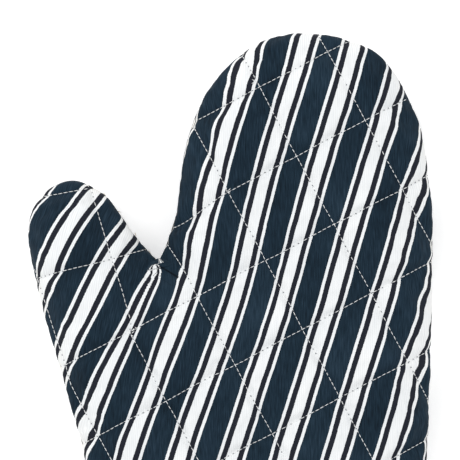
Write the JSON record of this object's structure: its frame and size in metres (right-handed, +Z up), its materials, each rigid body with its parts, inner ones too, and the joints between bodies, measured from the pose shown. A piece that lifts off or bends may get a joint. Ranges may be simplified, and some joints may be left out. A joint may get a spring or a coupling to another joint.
{
  "type": "oven mitt",
  "caption": "Quilted striped cotton oven mitt with a separate thumb, a bound cuff and a hanging loop, lying palm up.",
  "frame": {"origin": "middle of the footprint, on the surface the mitt lies on", "axes": "+X from the thumb to the little finger, +Y from the cuff to the fingertips, +Z up out of the palm"},
  "size_m": [0.2402, 0.3214, 0.042],
  "materials": {
    "outer_cloth": "matt cotton twill, navy with white stripes",
    "batting": "soft cotton batting",
    "lining": "matt natural cotton",
    "binding": "matt cotton tape, navy",
    "thread": "spun polyester sewing thread",
    "label": "woven satin tape, blank"
  },
  "bodies": {
    "hand": {"palm_outer_cloth": "outer_cloth", "back_outer_cloth": "outer_cloth", "palm_batting": "batting", "back_batting": "batting", "palm_lining": "lining", "back_lining": "lining", "cuff_binding": "binding", "hand_seam_thread": "thread", "wrist_seam_thread": "thread", "care_label": "label"},
    "thumb": {"thumb_palm_outer_cloth": "outer_cloth", "thumb_back_outer_cloth": "outer_cloth", "thumb_palm_batting": "batting", "thumb_back_batting": "batting", "thumb_palm_lining": "lining", "thumb_back_lining": "lining", "thumb_seam_thread": "thread"},
    "loop": {"hanging_loop": "binding", "loop_bar_tack": "thread"}
  },
  "joints": [
    {"name": "thumb_fold", "type": "hinge", "parent": "hand", "child": "thumb", "pos_m": [-0.05566, 0.0451, 0.042], "axis": [0.1991, 0.98, 0], "range_deg": [0, 50]},
    {"name": "loop_swing", "type": "hinge", "parent": "hand", "child": "loop", "pos_m": [0.07904, -0.1529, 0.021], "axis": [0, -1, 0], "range_deg": [0, 110]}
  ]
}
